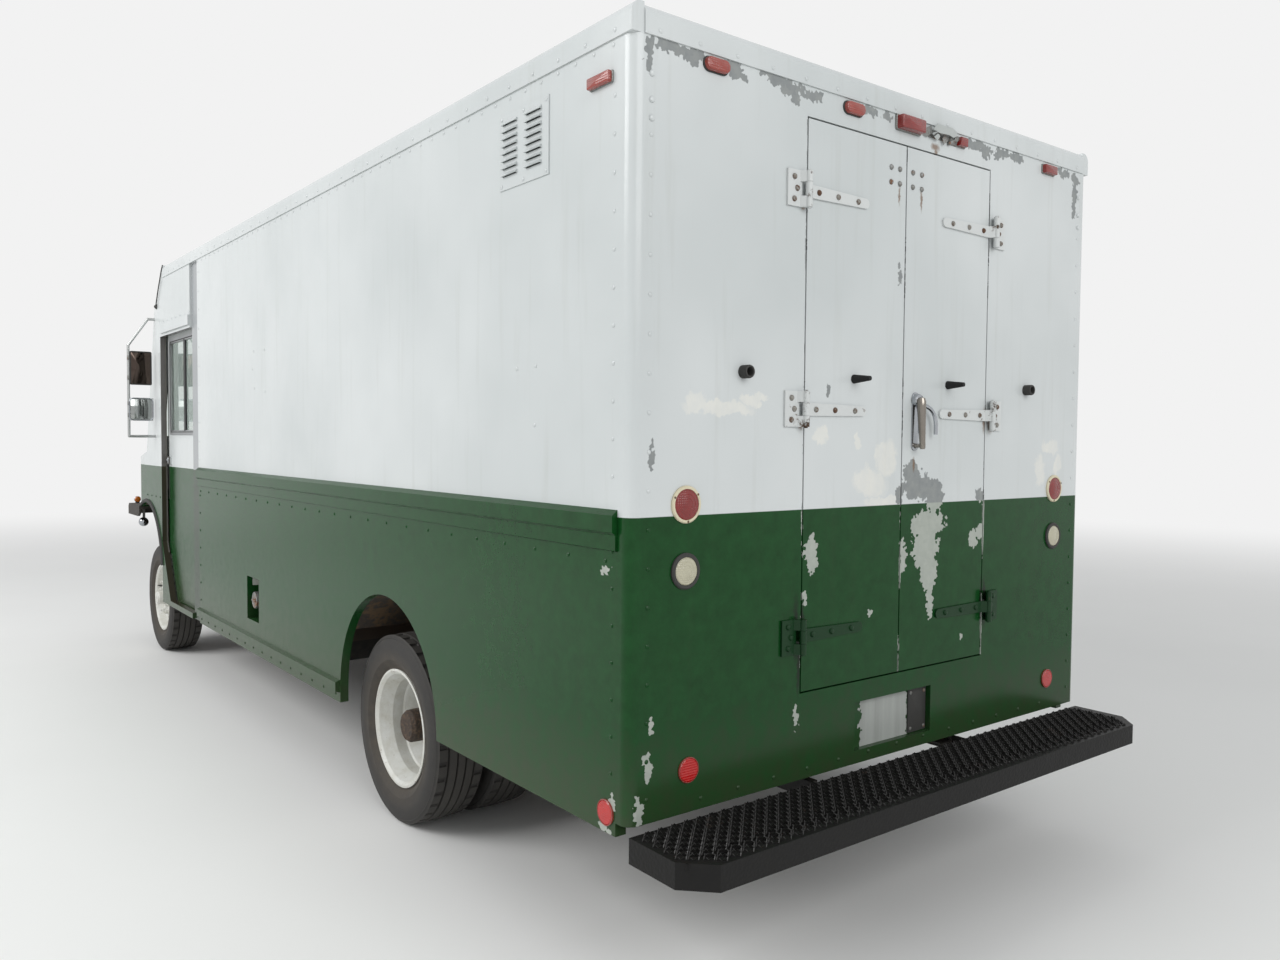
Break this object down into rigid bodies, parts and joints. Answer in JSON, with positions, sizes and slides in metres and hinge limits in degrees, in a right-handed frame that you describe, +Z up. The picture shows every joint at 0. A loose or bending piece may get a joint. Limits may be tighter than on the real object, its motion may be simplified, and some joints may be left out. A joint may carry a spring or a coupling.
{
  "type": "walk-in step van food truck",
  "caption": "Tall box-bodied walk-in van used as a food truck, with twin rear doors, sliding cab doors, side serving hatch, steered front wheels and twin rear wheels.",
  "frame": {"origin": "on the ground at the middle of the vehicle's overall length and width", "axes": "+X towards the front, +Y towards the left (driver's) side, +Z up"},
  "size_m": [7.47, 2.88, 2.9846],
  "materials": {
    "body_paint": "weathered gloss",
    "trim_metal": "satin",
    "hardware": "worn galvanised",
    "chassis_black": "matt",
    "cast_parts": "rusty",
    "wheel_white": "chalky",
    "tyre_rubber": "worn",
    "lamp_plastic": "gloss",
    "clear_lamp": "gloss",
    "window_glass": "clear",
    "dark_plastic": "matt",
    "seat_vinyl": "worn vinyl"
  },
  "bodies": {
    "truck_body": {"bulkhead": "trim_metal", "cab_shell": "body_paint", "crossmembers": "chassis_black", "dashboard": "dark_plastic", "door_tracks": "trim_metal", "driveline": "cast_parts", "engine": "cast_parts", "exhaust": "cast_parts", "floor": "trim_metal", "front_axle": "cast_parts", "front_bumper": "chassis_black", "front_fenders": "dark_plastic", "fuel_tank": "chassis_black", "grille": "trim_metal", "headlamps": "clear_lamp", "hinge_brackets": "hardware", "ladder_frame": "chassis_black", "leaf_springs": "cast_parts", "mirrors": "hardware", "nose_panel": "body_paint", "rear_axle": "cast_parts", "rear_frame": "body_paint", "rear_step": "chassis_black", "roof": "body_paint", "roof_rails": "trim_metal", "rub_rails": "trim_metal", "seat_base": "chassis_black", "seat_cushion": "seat_vinyl", "serving_counter": "trim_metal", "side_panel_left": "body_paint", "side_panel_right": "body_paint", "side_vent": "trim_metal", "tail_lamps": "lamp_plastic", "wheel_houses": "chassis_black", "windshield": "window_glass"},
    "hood": {"hood": "body_paint"},
    "serving_hatch": {"serving_hatch": "body_paint"},
    "steering_tie_rod": {"tie_rod": "cast_parts"},
    "rear_door_left": {"rear_door_left": "body_paint", "door_straps_left": "hardware"},
    "cab_door_left": {"cab_door_left": "body_paint", "cab_door_glass_left": "window_glass"},
    "steering_knuckle_left": {"knuckle_left": "cast_parts"},
    "front_wheel_left": {"front_wheel_left": "wheel_white", "front_tyre_left": "tyre_rubber"},
    "rear_wheels_left": {"rear_wheels_left": "wheel_white", "rear_tyres_left": "tyre_rubber"},
    "rear_door_right": {"rear_door_right": "body_paint", "door_straps_right": "hardware", "door_latch": "hardware"},
    "cab_door_right": {"cab_door_right": "body_paint", "cab_door_glass_right": "window_glass"},
    "steering_knuckle_right": {"knuckle_right": "cast_parts"},
    "front_wheel_right": {"front_wheel_right": "wheel_white", "front_tyre_right": "tyre_rubber"},
    "rear_wheels_right": {"rear_wheels_right": "wheel_white", "rear_tyres_right": "tyre_rubber"}
  },
  "joints": [
    {"name": "steer_left", "type": "hinge", "parent": "truck_body", "child": "steering_knuckle_left", "pos_m": [2.932, 0.875, 0.42], "axis": [0, 0, 1], "range_deg": [-32, 32]},
    {"name": "steer_right", "type": "hinge", "parent": "truck_body", "child": "steering_knuckle_right", "pos_m": [2.932, -0.875, 0.42], "axis": [0, 0, 1], "range_deg": [-32, 32]},
    {"name": "tie_rod_swing", "type": "hinge", "parent": "steering_knuckle_left", "child": "steering_tie_rod", "pos_m": [2.762, 0.875, 0.356], "axis": [0, 0, 1], "range_deg": [-32, 32]},
    {"name": "front_wheel_spin_left", "type": "hinge", "parent": "steering_knuckle_left", "child": "front_wheel_left", "pos_m": [2.932, 1.041, 0.42], "axis": [0, 1, 0], "continuous": true},
    {"name": "rear_wheel_spin_left", "type": "hinge", "parent": "truck_body", "child": "rear_wheels_left", "pos_m": [-1.588, 0.8985, 0.42], "axis": [0, 1, 0], "continuous": true},
    {"name": "rear_door_swing_left", "type": "hinge", "parent": "truck_body", "child": "rear_door_left", "pos_m": [-3.449, 0.535, 1.8235], "axis": [0, 0, -1], "range_deg": [0, 170]},
    {"name": "cab_door_slide_left", "type": "slide", "parent": "truck_body", "child": "cab_door_left", "axis": [-1, 0, 0], "range_m": [0, 0.74]},
    {"name": "front_wheel_spin_right", "type": "hinge", "parent": "steering_knuckle_right", "child": "front_wheel_right", "pos_m": [2.932, -1.041, 0.42], "axis": [0, 1, 0], "continuous": true},
    {"name": "rear_wheel_spin_right", "type": "hinge", "parent": "truck_body", "child": "rear_wheels_right", "pos_m": [-1.588, -0.8985, 0.42], "axis": [0, 1, 0], "continuous": true},
    {"name": "rear_door_swing_right", "type": "hinge", "parent": "truck_body", "child": "rear_door_right", "pos_m": [-3.449, -0.535, 1.8235], "axis": [0, 0, 1], "range_deg": [0, 170]},
    {"name": "cab_door_slide_right", "type": "slide", "parent": "truck_body", "child": "cab_door_right", "axis": [-1, 0, 0], "range_m": [0, 0.74]},
    {"name": "hood_lift", "type": "hinge", "parent": "truck_body", "child": "hood", "pos_m": [2.947, 0, 1.56], "axis": [0, -1, 0], "range_deg": [0, 55]},
    {"name": "hatch_lift", "type": "hinge", "parent": "truck_body", "child": "serving_hatch", "pos_m": [-0.175, -1.255, 2.508], "axis": [-1, 0, 0], "range_deg": [0, 95]}
  ],
  "couplings": [
    {"joint": "steer_right", "follows": "steer_left", "ratio": 1},
    {"joint": "tie_rod_swing", "follows": "steer_left", "ratio": -1}
  ]
}
